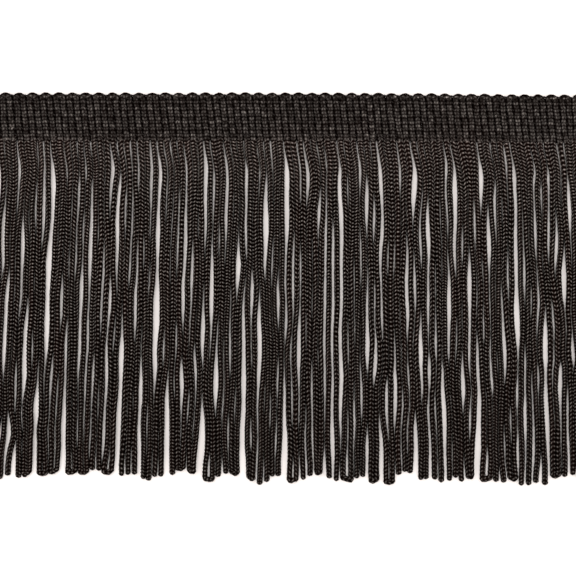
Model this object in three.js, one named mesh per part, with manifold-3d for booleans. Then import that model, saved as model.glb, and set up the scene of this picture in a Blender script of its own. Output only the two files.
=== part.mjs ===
// Chainette fringe trim, a cut length lying on its back.
// One chainette cord runs to and fro: up through the heading, round a scallop at the top edge, down again,
// and out of the heading as the fringe, some of it in closed loops and the rest in loose ends. Fine threads along
// the heading bind its columns side by side.
// Millimetres. X runs along the trim, Y from the fringe's feet to the scalloped edge, Z off the surface.
// The origin is the middle of the heading's back.
import * as THREE from "three";
import { mergeVertices } from "three/addons/utils/BufferGeometryUtils.js";
import Module from "manifold-3d";

const wasm = await Module();
wasm.setup();

// Columns of chainette
const SCALLOPS = 47; // turns along the top edge, two columns each
const COLUMN_PITCH = 1.7555; // centre to centre of neighbouring columns
const COLUMNS = 2 * SCALLOPS;
const TRIM_LENGTH = COLUMNS * COLUMN_PITCH;

// Heading
const HEADING_DEPTH = 12.5; // lower edge to the tops of the scallops
const BINDING_ROWS = 7; // threads that run along the heading
const FIRST_BINDING = 0.8; // lowest thread above the lower edge
const ROW_PITCH = 1.737; // one binding thread to the next
const COLUMN_HEIGHT = 1.9; // columns standing up between two threads
const BOUND_HEIGHT = 1.4; // columns drawn down under a thread
const EDGE_HEIGHT = 0.9; // height of the rounded long edges
const EDGE_ROUND = 0.35; // how far the long edges are rounded in
const FURROW = 0.72; // height left between two columns, as a share
const SCALLOP_DEPTH = 0.8; // notch between two scallops below their tops
const SCALLOP_SHOULDER = 0.15; // fall from a scallop's middle to its columns
const DROOP = 0.5; // fall of the whole trim at DROOP_AT
const DROOP_FROM = -5; // the trim lies straight on the left of this
const DROOP_AT = 67;
const DROOP_POWER = 1.5;

// Fringe
const FRINGE_LENGTH = 89; // lower edge of the heading to a middling foot
const UNEVEN = 0.8; // a foot hangs at most this much lower or higher than its neighbours
const STRAND_WIDTH = 1.15; // at the surface
const STRAND_TOP_WIDTH = 0.9;
const STRAND_HEIGHT = 1.4;
const FOOT_WIDTH = 1.42; // least distance between a loop's two legs at its foot, centre to centre
const FOOT_WIDEST = 2.1;
const FOOT_SKEW = 2.2; // one leg may reach lower than the other by up to this much
const FOOT_DRAWN = 9; // length over which the legs come together
const CLOSED = 0.6; // share of the loops that hang closed
const FLICK = 0.8; // loose ends lean this far aside, where they have room
const FLICK_LENGTH = 18;
const FLICK_NEAR = 1.3; // and come no nearer than this to the next one
const STRIP_GAP = 0.3; // heading to the strip that holds the roots
const STRIP_WIDTH = 2;
const STRIP_HEIGHT = 1;
const ROOT_INSET = 0.4; // strands start this far inside the strip's edge
const LEG_STEPS = 10;
const TURN_STEPS = 4;
const STRIP_STEPS = 40;

// How the loose strands lie
const LEAN = -0.0098; // sideways per mm of depth in the middle of the trim
const LEAN_FAN = 0.00049; // more of it per mm along the trim
const KICK = 0.6; // to the right where strands leave the heading
const KICK_LENGTH = 11;
const ROOT_LENGTH = 12; // depth over which strands leave their columns' spacing
const CLUNG = 1.42; // spacing of strands that cling together
const PARTING_EASE = 22; // length over which a parting opens and closes
const WIDE_POWER = 1.3; // above 1 wide partings are wider and narrow ones narrower
const THIN = 0.55; // width of the chance partings
const THIN_OFTEN = 0.22; // more of them when higher
const THIN_WAVES = [
  { length: 95, share: 0.75 },
  { length: 37, share: 0.85 },
  { length: 19, share: 0.5 },
];
const FEET_FROM = 55; // below this depth the chance partings narrow
const FEET_SHARE = 0.85; // to this share at the feet
const SPREAD = 3; // neighbours that share the room of a parting
const HOLD = 0.1; // how firmly strands keep under their own columns

// Partings between strands: place along the trim, depths where each opens and closes, and its width.
const PARTINGS = [
  { at: -73.4, from: 45, to: 67, width: 0.8 },
  { at: -71.5, from: 78, to: 92, width: 1.1 },
  { at: -69.0, from: 17, to: 35, width: 1.1 },
  { at: -68.1, from: 33, to: 82, width: 0.8 },
  { at: -66.8, from: 75, to: 92, width: 1.1 },
  { at: -65.1, from: 62, to: 79, width: 1.6 },
  { at: -62.8, from: 6, to: 30, width: 1.3 },
  { at: -61.4, from: -4, to: 68, width: 1.6 },
  { at: -59.4, from: 32, to: 54, width: 1.1 },
  { at: -57.8, from: 57, to: 92, width: 1.1 },
  { at: -54.9, from: 29, to: 80, width: 1.0 },
  { at: -52.5, from: 14, to: 86, width: 0.8 },
  { at: -47.8, from: 45, to: 82, width: 1.1 },
  { at: -46.2, from: 0, to: 24, width: 0.8 },
  { at: -44.5, from: 11, to: 45, width: 0.8 },
  { at: -43.9, from: 40, to: 92, width: 1.4 },
  { at: -39.3, from: 68, to: 92, width: 1.4 },
  { at: -35.4, from: 0, to: 32, width: 0.9 },
  { at: -34.3, from: -3, to: 72, width: 1.3 },
  { at: -31.4, from: 64, to: 92, width: 1.4 },
  { at: -29.6, from: 2, to: 42, width: 0.7 },
  { at: -26.3, from: 0, to: 58, width: 1.2 },
  { at: -22.2, from: 65, to: 92, width: 1.5 },
  { at: -20.7, from: -2, to: 36, width: 1.3 },
  { at: -19.0, from: 20, to: 56, width: 1.2 },
  { at: -17.7, from: 48, to: 76, width: 0.8 },
  { at: -15.6, from: 0, to: 34, width: 0.9 },
  { at: -10.8, from: 33, to: 92, width: 1.5 },
  { at: -7.1, from: 36, to: 74, width: 1.3 },
  { at: -5.0, from: 5, to: 35, width: 1.1 },
  { at: 0.0, from: -2, to: 54, width: 1.1 },
  { at: -0.4, from: 56, to: 92, width: 1.4 },
  { at: 2.2, from: 21, to: 50, width: 1.2 },
  { at: 4.2, from: 40, to: 80, width: 1.0 },
  { at: 10.6, from: 8, to: 83, width: 1.1 },
  { at: 12.5, from: 14, to: 92, width: 1.3 },
  { at: 15.0, from: 2, to: 85, width: 1.7 },
  { at: 19.6, from: 54, to: 78, width: 0.9 },
  { at: 22.4, from: 30, to: 66, width: 1.1 },
  { at: 22.6, from: 73, to: 92, width: 1.1 },
  { at: 25.9, from: 9, to: 42, width: 1.1 },
  { at: 26.0, from: 69, to: 92, width: 1.1 },
  { at: 32.5, from: 22, to: 46, width: 1.1 },
  { at: 33.9, from: 2, to: 22, width: 1.6 },
  { at: 34.6, from: 70, to: 92, width: 1.9 },
  { at: 37.8, from: 23, to: 58, width: 1.2 },
  { at: 38.5, from: 62, to: 92, width: 1.2 },
  { at: 42.4, from: 54, to: 92, width: 1.2 },
  { at: 43.3, from: 25, to: 62, width: 1.2 },
  { at: 44.3, from: 2, to: 30, width: 1.3 },
  { at: 48.8, from: 32, to: 67, width: 1.0 },
  { at: 51.5, from: 56, to: 92, width: 1.1 },
  { at: 53.6, from: 15, to: 41, width: 0.9 },
  { at: 60.4, from: 4, to: 65, width: 1.4 },
  { at: 63.5, from: 64, to: 92, width: 0.9 },
  { at: 66.6, from: 25, to: 59, width: 0.8 },
  { at: 68.1, from: 57, to: 92, width: 1.3 },
  { at: 70.6, from: 14, to: 40, width: 1.0 },
  { at: 74.3, from: 26, to: 46, width: 0.9 },
  { at: 75.5, from: 72, to: 92, width: 0.9 },
];

// How much lower than middling the feet hang, along the trim.
const FEET = [
  { at: -83, drop: 0 },
  { at: -69.4, drop: 0.7 },
  { at: -65.4, drop: 0.2 },
  { at: -60.2, drop: -0.9 },
  { at: -55.4, drop: -0.1 },
  { at: -50.4, drop: -1.1 },
  { at: -45, drop: 0.1 },
  { at: -40, drop: 0 },
  { at: -33.3, drop: 1 },
  { at: -26.7, drop: -1.1 },
  { at: -19.3, drop: 1.25 },
  { at: -12.7, drop: -0.9 },
  { at: -8.4, drop: 2 },
  { at: -2, drop: 0.3 },
  { at: 5.3, drop: 1.5 },
  { at: 8.2, drop: -0.9 },
  { at: 14.8, drop: 1.5 },
  { at: 21, drop: 0.2 },
  { at: 27.2, drop: 1.8 },
  { at: 30.6, drop: -1.6 },
  { at: 36.4, drop: 1.3 },
  { at: 42.5, drop: 1.3 },
  { at: 49, drop: -0.3 },
  { at: 55.9, drop: 1.8 },
  { at: 62.5, drop: 1.5 },
  { at: 70.5, drop: 1.3 },
  { at: 73.1, drop: -0.5 },
  { at: 83, drop: 0 },
];

const columnX = (i) => (i - (COLUMNS - 1) / 2) * COLUMN_PITCH;
const bindingY = (row) => FIRST_BINDING + row * ROW_PITCH;
const smoothstep = (from, to, x) => THREE.MathUtils.smoothstep(x, from, to);

// A fixed number between 0 and 1 for a strand and a purpose.
function chance(i, purpose) {
  const wave = Math.sin(i * 12.9898 + purpose * 78.233) * 43758.5453;
  return wave - Math.floor(wave);
}

// Lays a piece along the trim's own line, which droops towards its right end.
function lay(geometry) {
  const place = geometry.getAttribute("position");
  for (let n = 0; n < place.count; n += 1) {
    const along = Math.max(0, place.getX(n) - DROOP_FROM) / (DROOP_AT - DROOP_FROM);
    place.setY(n, place.getY(n) - DROOP * along ** DROOP_POWER);
  }
  return geometry;
}

function solidOf(geometry) {
  const bare = geometry.clone();
  bare.deleteAttribute("normal");
  bare.deleteAttribute("uv");
  const merged = mergeVertices(bare);
  const vertProperties = new Float32Array(merged.getAttribute("position").array);
  const triVerts = new Uint32Array(merged.index.array);
  return new wasm.Manifold(new wasm.Mesh({ numProp: 3, vertProperties, triVerts }));
}

function geometryOf(solid) {
  const mesh = solid.getMesh();
  const geometry = new THREE.BufferGeometry();
  geometry.setAttribute("position", new THREE.BufferAttribute(mesh.vertProperties, 3));
  geometry.setIndex(new THREE.BufferAttribute(mesh.triVerts, 1));
  geometry.computeVertexNormals();
  return geometry;
}

// The heading's section across the trim: a flat back and one bulge of the columns between each two threads.
function headingSection() {
  const section = new THREE.Shape();
  section.moveTo(0, 0);
  section.lineTo(HEADING_DEPTH, 0);
  section.lineTo(HEADING_DEPTH, EDGE_HEIGHT);
  section.lineTo(HEADING_DEPTH - EDGE_ROUND, BOUND_HEIGHT);
  for (let row = BINDING_ROWS - 1; row >= 0; row -= 1) {
    section.lineTo(bindingY(row), BOUND_HEIGHT);
    if (row > 0) section.lineTo(bindingY(row - 0.5), COLUMN_HEIGHT);
  }
  section.lineTo(EDGE_ROUND, BOUND_HEIGHT);
  section.lineTo(0, EDGE_HEIGHT);
  return section;
}

// The section runs the whole length in half-column steps. The steps between columns are sunk into furrows,
// and the top edge falls into a notch after every second column.
function headingGeometry() {
  const stepsAlong = 2 * COLUMNS;
  const geometry = new THREE.ExtrudeGeometry(headingSection(), {
    depth: TRIM_LENGTH,
    steps: stepsAlong,
    bevelEnabled: false,
  });
  const toTrim = new THREE.Matrix4().makeBasis(
    new THREE.Vector3(0, 1, 0),
    new THREE.Vector3(0, 0, 1),
    new THREE.Vector3(1, 0, 0),
  );
  geometry.applyMatrix4(toTrim);
  const place = geometry.getAttribute("position");
  const topThread = bindingY(BINDING_ROWS - 1);
  for (let n = 0; n < place.count; n += 1) {
    const step = Math.round((place.getX(n) / TRIM_LENGTH) * stepsAlong);
    if (step % 2 === 0) place.setZ(n, place.getZ(n) * FURROW);
    const fall = step % 4 === 0 ? SCALLOP_DEPTH : (step % 2) * SCALLOP_SHOULDER;
    const onEdge = smoothstep(topThread, HEADING_DEPTH - EDGE_ROUND, place.getY(n));
    place.setY(n, place.getY(n) - fall * onEdge);
  }
  geometry.translate(-TRIM_LENGTH / 2, -HEADING_DEPTH / 2, 0);
  return lay(geometry);
}

const reachesFeet = (gap) => gap.to > FRINGE_LENGTH;

// The number of the first strand on a parting's right.
function firstOnRight(gap) {
  const depth = (gap.from + Math.min(gap.to, FRINGE_LENGTH)) / 2;
  const root = (gap.at - KICK - LEAN * depth) / (1 + LEAN_FAN * depth);
  return Math.floor(root / COLUMN_PITCH + COLUMNS / 2 + 0.5);
}

// A loop hangs closed or is two loose ends, as it is where a parting is open between its strands at the feet.
const openFeet = new Set(PARTINGS.filter(reachesFeet).map(firstOnRight));
function hangsClosed(loop) {
  const whole = loop > 0 && loop < SCALLOPS && !openFeet.has(2 * loop);
  return whole && chance(loop, 9) < CLOSED;
}

// How far a parting is open at a depth, from 0 to 1.
function openness(gap, depth) {
  const ease = Math.min(PARTING_EASE, (gap.to - gap.from) / 2);
  const opening = smoothstep(gap.from, gap.from + ease, depth);
  const closing = smoothstep(gap.to - ease, gap.to, depth);
  return reachesFeet(gap) ? opening : opening * (1 - closing);
}

// Where strand i would lie at a depth with no neighbours: kicked aside at its root, and leaning.
function freeX(i, depth) {
  const root = columnX(i);
  const kicked = KICK * Math.sin((smoothstep(0, KICK_LENGTH, depth) * Math.PI) / 2);
  return root + (LEAN + LEAN_FAN * root) * depth + kicked;
}

// Room wanted at a depth between strand i and the one before it, in a chance parting and in those listed.
function roomWanted(i, depth) {
  let wave = THIN_OFTEN;
  THIN_WAVES.forEach(({ length, share }, n) => {
    wave += share * Math.sin(2 * Math.PI * (depth / length + chance(i, n + 41)));
  });
  let room = THIN * Math.max(0, wave);
  room *= 1 - (1 - FEET_SHARE) * smoothstep(FEET_FROM, FRINGE_LENGTH, depth);
  for (const gap of PARTINGS) {
    if (firstOnRight(gap) === i) room += gap.width ** WIDE_POWER * openness(gap, depth);
  }
  return room;
}

// Spacings at a depth, each for a strand and the one before it. Strands cling together, and what is left over
// goes to the partings nearby.
function spacingsAt(depth, free) {
  const pairs = free.slice(1).map((x, n) => {
    const i = n + 1;
    return { i, space: x - free[n], wanted: roomWanted(i, depth) };
  });
  const setIn = smoothstep(0, ROOT_LENGTH, depth);
  return pairs.map((pair) => {
    let spare = 0;
    let wanted = 0;
    for (const other of pairs) {
      const near = Math.exp(-0.5 * ((pair.i - other.i) / SPREAD) ** 2);
      spare += near * (other.space - CLUNG);
      wanted += near * other.wanted;
    }
    return pair.space * (1 - setIn) + (CLUNG + (pair.wanted * spare) / wanted) * setIn;
  });
}

// All strands at one depth: each is drawn to its own place with HOLD and to its spacings with 1. The balance of
// these pulls is a chain of equations, solved from the left and back.
function strandsAt(depth) {
  const free = Array.from({ length: COLUMNS }, (_, i) => freeX(i, depth));
  const spacings = spacingsAt(depth, free);
  const last = COLUMNS - 1;
  const weight = [];
  const pull = [];
  for (let i = 0; i <= last; i += 1) {
    weight[i] = HOLD + (i > 0 ? 1 : 0) + (i < last ? 1 : 0);
    pull[i] = HOLD * free[i] + (i > 0 ? spacings[i - 1] : 0) - (i < last ? spacings[i] : 0);
    if (i > 0) {
      weight[i] -= 1 / weight[i - 1];
      pull[i] += pull[i - 1] / weight[i - 1];
    }
  }
  const row = [];
  row[last] = pull[last] / weight[last];
  for (let i = last - 1; i >= 0; i -= 1) row[i] = (pull[i] + row[i + 1]) / weight[i];
  return row;
}

// How much lower than middling a foot hangs at a place along the trim.
function footDrop(x) {
  const after = FEET.findIndex((foot) => foot.at >= x);
  if (after <= 0) return 0;
  const { at, drop } = FEET[after - 1];
  return THREE.MathUtils.mapLinear(x, at, FEET[after].at, drop, FEET[after].drop);
}

// How far down a foot reaches.
function footLine(number, x) {
  return -HEADING_DEPTH / 2 - FRINGE_LENGTH + UNEVEN * (2 * chance(number, 5) - 1) - footDrop(x);
}

// How far a loose end leans aside at its foot.
function footFlick(i, feet) {
  const roomTo = (n) => Math.max(0, Math.abs(feet[n] - feet[i]) - FLICK_NEAR) / 2;
  const toLeft = i > 0 ? roomTo(i - 1) : FLICK;
  const toRight = i < COLUMNS - 1 ? roomTo(i + 1) : FLICK;
  return THREE.MathUtils.clamp(FLICK * (2 * chance(i, 10) - 1), -toLeft, toRight);
}

// A path through given points, sampled at those points.
class PointPath extends THREE.Curve {
  constructor(points) {
    super();
    this.points = points;
  }
  getPoint(t) {
    const steps = this.points.length - 1;
    const before = Math.min(steps - 1, Math.max(0, Math.floor(t * steps)));
    return this.points[before].clone().lerp(this.points[before + 1], t * steps - before);
  }
  getPointAt(t) {
    return this.getPoint(t);
  }
  getTangentAt(t) {
    return this.getTangent(t);
  }
}

function strandSection() {
  const section = new THREE.Shape();
  section.moveTo(STRAND_HEIGHT / 2, -STRAND_WIDTH / 2);
  section.lineTo(STRAND_HEIGHT / 2, STRAND_WIDTH / 2);
  section.lineTo(-STRAND_HEIGHT / 2, STRAND_TOP_WIDTH / 2);
  section.lineTo(-STRAND_HEIGHT / 2, -STRAND_TOP_WIDTH / 2);
  return section;
}

function strandAlong(points) {
  const path = new PointPath(points);
  return lay(new THREE.ExtrudeGeometry(strandSection(), { steps: points.length - 1, extrudePath: path }));
}

// The fringe: a strand comes down from every column, and a strip joins the roots. A closed loop turns at its foot
// and goes up the next column.
function fringeGeometry() {
  const top = -HEADING_DEPTH / 2 - STRIP_GAP;
  const depths = Array.from({ length: LEG_STEPS + 1 }, (_, n) => (FRINGE_LENGTH * n) / LEG_STEPS);
  const rows = depths.map(strandsAt);
  const feet = rows[LEG_STEPS];
  const leg = (placeIn, footY) =>
    rows.map((row, n) => {
      const y = THREE.MathUtils.lerp(top - ROOT_INSET, footY, n / LEG_STEPS);
      return new THREE.Vector3(placeIn(row, depths[n]), y, STRAND_HEIGHT / 2);
    });
  const looseEnd = (i) => {
    const flick = footFlick(i, feet);
    const flicked = (depth) => flick * smoothstep(FRINGE_LENGTH - FLICK_LENGTH, FRINGE_LENGTH, depth) ** 2;
    return leg((row, depth) => row[i] + flicked(depth), footLine(i, feet[i] + flick));
  };
  const closedLoop = (left, right) => {
    const radius = THREE.MathUtils.clamp(feet[right] - feet[left], FOOT_WIDTH, FOOT_WIDEST) / 2;
    const lowest = footLine(left, (feet[left] + feet[right]) / 2) + radius + STRAND_WIDTH / 2;
    const skew = FOOT_SKEW * (chance(right / 2, 9) / CLOSED - 0.5);
    const half = (i, sideways) => {
      const placeIn = (row, depth) => {
        const foot = (row[left] + row[right]) / 2 + sideways * radius;
        return THREE.MathUtils.lerp(row[i], foot, smoothstep(FRINGE_LENGTH - FOOT_DRAWN, FRINGE_LENGTH, depth));
      };
      return leg(placeIn, lowest + (sideways * skew) / 2);
    };
    const down = half(left, -1);
    const up = half(right, 1).reverse();
    const middle = down[LEG_STEPS].clone().add(up[0]).divideScalar(2);
    const across = up[0].clone().sub(middle);
    const turn = Array.from({ length: TURN_STEPS - 1 }, (_, n) => {
      const angle = (Math.PI * (n + 1)) / TURN_STEPS;
      const point = middle.clone().addScaledVector(across, -Math.cos(angle));
      point.y -= radius * Math.sin(angle);
      return point;
    });
    return [...down, ...turn, ...up];
  };

  const strip = new THREE.BoxGeometry(TRIM_LENGTH, STRIP_WIDTH, STRIP_HEIGHT, STRIP_STEPS);
  strip.translate(0, top - STRIP_WIDTH / 2, STRIP_HEIGHT / 2);
  let fringe = solidOf(lay(strip));
  for (let loop = 0; loop <= SCALLOPS; loop += 1) {
    const strands = [2 * loop - 1, 2 * loop].filter((i) => i >= 0 && i < COLUMNS);
    const paths = hangsClosed(loop) ? [closedLoop(...strands)] : strands.map(looseEnd);
    for (const path of paths) fringe = fringe.add(solidOf(strandAlong(path)));
  }
  return geometryOf(fringe);
}

const yarn = { color: 0x1d1816, roughness: 0.55, metalness: 0 };

const heading = new THREE.Mesh(headingGeometry(), new THREE.MeshStandardMaterial(yarn));
heading.name = "heading";

const fringe = new THREE.Mesh(fringeGeometry(), new THREE.MeshStandardMaterial(yarn));
fringe.name = "fringe";

const trim = new THREE.Group();
trim.add(heading, fringe);

export default trim;
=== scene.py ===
import math

import bpy
import numpy as np
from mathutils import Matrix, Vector


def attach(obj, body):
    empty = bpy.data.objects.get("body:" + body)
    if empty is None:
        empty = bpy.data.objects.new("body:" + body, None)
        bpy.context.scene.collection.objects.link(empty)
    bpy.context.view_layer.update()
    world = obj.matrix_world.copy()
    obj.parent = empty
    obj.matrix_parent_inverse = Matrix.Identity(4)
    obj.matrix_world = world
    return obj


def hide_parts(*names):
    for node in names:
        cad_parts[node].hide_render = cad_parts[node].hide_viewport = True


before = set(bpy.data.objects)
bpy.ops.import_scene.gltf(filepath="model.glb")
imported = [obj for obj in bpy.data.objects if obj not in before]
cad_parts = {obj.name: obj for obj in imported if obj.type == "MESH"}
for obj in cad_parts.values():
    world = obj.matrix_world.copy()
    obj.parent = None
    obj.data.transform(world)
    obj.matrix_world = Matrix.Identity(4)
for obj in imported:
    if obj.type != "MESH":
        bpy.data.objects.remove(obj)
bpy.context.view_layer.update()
print("frame loaded:", sorted(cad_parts))

mm = 0.001  # arrays below are in millimetres, meshes in metres
fullTurn = 2 * math.pi
bodyName = "root"


# what is left to chance, the same in each run

chances = {  # every purpose has a number of its own
    "footUneven": 5, "loopTilt": 6, "legOnTop": 7, "wander": 8, "closed": 9, "flick": 10,
    "longTwist": 11, "shortTwist": 12, "toneWave": 15, "tone": 16, "parting": 18, "rootStart": 19,
    "scallop": 21, "wobble": 22, "pinTurn": 23, "pinSway": 24, "pinTone": 25, "caught": 26,
    "stitchShift": 27, "stitchTurn": 28, "furrow": 29, "legRadius": 31, "legShade": 32, "legStray": 33,
    "furrowTurn": 34, "columnStray": 35, "pace": 36, "cordPace": 37, "slant": 38, "dot": 39,
    "longThin": 41, "middleThin": 42, "shortThin": 43,
}
cordSteps = {  # from one cord to the next, so that no two are alike
    "legRadius": 613, "legShade": 613, "legStray": 911, "stitchTurn": 59,
    "furrow": 71, "furrowTurn": 131, "caught": 97, "dot": 191,
}
mixing = (12.9898, 78.233, 43758.5453)   # any such values do, as long as they stay the same


def chance(number, purpose):  # a fixed value from 0 to 1 for each number and purpose
    byNumber, byPurpose, spread = mixing
    wave = np.sin(number * byNumber + chances[purpose] * byPurpose) * spread
    return wave - np.floor(wave)


def chanceIn(cord, number, purpose):  # the same for the stitches, legs or dots of one cord
    return chance(number + cordSteps[purpose] * cord, purpose)


def smooth(start, end, x):
    t = np.clip((x - start) / (end - start), 0, 1)
    return t * t * (3 - 2 * t)


# how the trim is laid out

trim = {
    "scallops": 47,        # turns along the top edge, two columns each
    "pitch": 1.7555,       # column to column
    "headingDepth": 12.5,
    "droop": 0.5,          # fall of the trim's line at droopAt
    "droopFrom": -5.0,
    "droopAt": 67.0,
    "droopPower": 1.5,
    "lean": 0.108,         # the heading's columns go aside by this for each mm down
    "leanEnds": (70.0, 81.0),   # but not at the ends of the trim
}
columns = 2 * trim["scallops"]
columnNumber = np.arange(columns)
columnX = (columnNumber - (columns - 1) / 2) * trim["pitch"]
upperEdge = trim["headingDepth"] / 2
lowerEdge = -upperEdge

lie = {
    "fringe": 89.0,        # heading to a middling foot
    "uneven": 0.8,         # feet hang lower or higher by this much
    "lean": -0.0098,       # sideways for each mm down
    "leanFan": 0.00049,    # and more of it along the trim
    "kick": 0.6,           # to the right where strands leave the heading
    "kickLength": 11.0,
    "rootLength": 12.0,    # below the heading, where strands leave their columns
    "clung": 1.42,         # spacing of strands that cling together
    "ease": 22.0,          # length over which a parting opens and closes
    "thin": 0.55,          # width of the chance partings
    "thinWaves": (         # they come and go in waves: length, share and chance
        (95.0, 0.75, "longThin"), (37.0, 0.85, "middleThin"), (19.0, 0.5, "shortThin"),
    ),
    "thinOften": 0.22,     # more of them when higher
    "widePower": 1.3,      # above 1 wide partings are wider and narrow ones narrower
    "feetFrom": 55.0,      # below this depth the chance partings narrow
    "feetShare": 0.85,     # to this
    "closed": 0.6,         # of the loops hang closed, the others are two loose ends
    "spread": 3.0,         # neighbours that share the room of a parting
    "hold": 0.1,           # how firmly strands keep under their own columns
    "levels": 110,         # depths at which the strands are placed
}

# partings between strands: place along the trim, depths where they open and close, width
partingColumns = ("at", "opens", "closes", "width")
partingRows = [
    (-73.4, 45, 67, 0.8), (-71.5, 78, 92, 1.1), (-69.0, 17, 35, 1.1), (-68.1, 33, 82, 0.8),
    (-66.8, 75, 92, 1.1), (-65.1, 62, 79, 1.6), (-62.8, 6, 30, 1.3), (-61.4, -4, 68, 1.6),
    (-59.4, 32, 54, 1.1), (-57.8, 57, 92, 1.1), (-54.9, 29, 80, 1.0), (-52.5, 14, 86, 0.8),
    (-47.8, 45, 82, 1.1), (-46.2, 0, 24, 0.8), (-44.5, 11, 45, 0.8), (-43.9, 40, 92, 1.4),
    (-39.3, 68, 92, 1.4), (-35.4, 0, 32, 0.9), (-34.3, -3, 72, 1.3), (-31.4, 64, 92, 1.4),
    (-29.6, 2, 42, 0.7), (-26.3, 0, 58, 1.2), (-22.2, 65, 92, 1.5), (-20.7, -2, 36, 1.3),
    (-19.0, 20, 56, 1.2), (-17.7, 48, 76, 0.8), (-15.6, 0, 34, 0.9), (-10.8, 33, 92, 1.5),
    (-7.1, 36, 74, 1.3), (-5.0, 5, 35, 1.1), (0.0, -2, 54, 1.1), (-0.4, 56, 92, 1.4),
    (2.2, 21, 50, 1.2), (4.2, 40, 80, 1.0), (10.6, 8, 83, 1.1), (12.5, 14, 92, 1.3),
    (15.0, 2, 85, 1.7), (19.6, 54, 78, 0.9), (22.4, 30, 66, 1.1), (22.6, 73, 92, 1.1),
    (25.9, 9, 42, 1.1), (26.0, 69, 92, 1.1), (32.5, 22, 46, 1.1), (33.9, 2, 22, 1.6),
    (34.6, 70, 92, 1.9), (37.8, 23, 58, 1.2), (38.5, 62, 92, 1.2), (42.4, 54, 92, 1.2),
    (43.3, 25, 62, 1.2), (44.3, 2, 30, 1.3), (48.8, 32, 67, 1.0), (51.5, 56, 92, 1.1),
    (53.6, 15, 41, 0.9), (60.4, 4, 65, 1.4), (63.5, 64, 92, 0.9), (66.6, 25, 59, 0.8),
    (68.1, 57, 92, 1.3), (70.6, 14, 40, 1.0), (74.3, 26, 46, 0.9), (75.5, 72, 92, 0.9),
]
partings = [dict(zip(partingColumns, row)) for row in partingRows]


def droopAt(x):
    along = np.maximum(0, x - trim["droopFrom"]) / (trim["droopAt"] - trim["droopFrom"])
    return trim["droop"] * along ** trim["droopPower"]


def columnLean(x, y):  # how far aside a column of the heading lies
    down = upperEdge - np.clip(y, lowerEdge, upperEdge)
    return trim["lean"] * down * (1 - smooth(*trim["leanEnds"], np.abs(x)))


def rootLean(x):  # the same for strands at the heading's edge, where each meets the column before its own
    return columnLean(x, lowerEdge) - trim["pitch"] * (1 - smooth(*trim["leanEnds"], np.abs(x)))


def reachesFeet(gap):
    return gap["closes"] > lie["fringe"]


def firstOnRight(gap):  # the strand on a parting's right
    depth = (gap["opens"] + min(gap["closes"], lie["fringe"])) / 2
    root = (gap["at"] - lie["kick"] - lie["lean"] * depth) / (1 + lie["leanFan"] * depth)
    return math.floor(root / trim["pitch"] + columns / 2 + 0.5)


def openness(gap, depth):
    ease = min(lie["ease"], (gap["closes"] - gap["opens"]) / 2)
    opening = smooth(gap["opens"], gap["opens"] + ease, depth)
    if reachesFeet(gap):
        return opening
    return opening * (1 - smooth(gap["closes"] - ease, gap["closes"], depth))


openFeet = {firstOnRight(gap) for gap in partings if reachesFeet(gap)}


def hangsClosed(loop):  # two legs with a turn at the foot, and no parting between them there
    inside = 0 < loop < trim["scallops"] and 2 * loop not in openFeet
    return inside and chance(loop, "closed") < lie["closed"]


def partedRows(deep):  # room wanted between each strand and the one before it
    pair = columnNumber[1:]
    wave = lie["thinOften"]
    for length, share, purpose in lie["thinWaves"]:
        wave = wave + share * np.sin(fullTurn * (deep / length + chance(pair, purpose)))
    wanted = lie["thin"] * np.maximum(0, wave)
    wanted *= 1 - (1 - lie["feetShare"]) * smooth(lie["feetFrom"], lie["fringe"], deep)
    for gap in partings:
        first = firstOnRight(gap)
        if 0 < first < columns:
            wanted[:, first - 1] += gap["width"] ** lie["widePower"] * openness(gap, deep[:, 0])
    return wanted


def heldPlaces(x, spacing):  # strands keep the spacing, and loosely their own places
    pair = columnNumber[1:]
    held = np.zeros((columns, columns))
    held[columnNumber, columnNumber] = lie["hold"]
    held[pair, pair] += 1
    held[pair - 1, pair - 1] += 1
    held[pair, pair - 1] -= 1
    held[pair - 1, pair] -= 1
    pull = lie["hold"] * x
    pull[:, 1:] += spacing
    pull[:, :-1] -= spacing
    return np.linalg.solve(held, pull.T).T


def strandRows(depths):  # place of every strand at each depth
    deep = depths[:, None]
    x = columnX + (lie["lean"] + lie["leanFan"] * columnX) * deep
    x = x + lie["kick"] * np.sin(smooth(0, lie["kickLength"], deep) * math.pi / 2)
    apart = np.diff(x, axis=1)
    wanted = partedRows(deep)
    away = columnNumber[1:, None] - columnNumber[None, 1:]
    near = np.exp(-0.5 * (away / lie["spread"]) ** 2)
    parted = wanted * ((apart - lie["clung"]) @ near) / (wanted @ near)
    setIn = smooth(0, lie["rootLength"], deep)
    return heldPlaces(x, apart * (1 - setIn) + (lie["clung"] + parted) * setIn)


# the knitted cord itself

chainette = {
    "chevron": 0.42,           # how far a leg climbs, in stitches
    "uneven": 0.08,            # stitches differ by this share
    "shadeUneven": 0.35,
}
# parts of a stitch: radius in the valleys beside it and on its leg, how light the leg is painted (a painted
# highlight) where it begins and where it ends, and how far the part lies ahead, in chevrons
stitchParts = {
    "border": (0.63, 0.69, 0.16, 0.16, -0.5),    # between two chains
    "leg": (0.66, 0.825, 0.82, 0.82, 0.0),
    "middle": (0.61, 0.71, 0.58, 0.58, 0.5),     # of a chain
    "back": (0.74, 0.74, 0.1, 0.1, -0.5),
    "side": (0.765, 0.82, 0.72, 0.72, 0.0),
    "crown": (0.68, 0.81, 0.26, 0.52, 0.25),
}
partNumber = {name: number for number, name in enumerate(stitchParts)}
valleyRadius, legRadius, legShade, legEndShade, partClimb = np.array(list(stitchParts.values())).T
# the valleys beside the legs are painted black: painted shade
valleyShade = np.zeros(len(stitchParts))
radiusTable = np.array([valleyRadius, legRadius, legRadius, valleyRadius])   # for each ring and part
# painted highlights on the legs and painted shade in the valleys, for each ring and part
shadeTable = np.array([valleyShade, legShade, legEndShade, valleyShade])
ringsEach = len(shadeTable)

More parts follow.
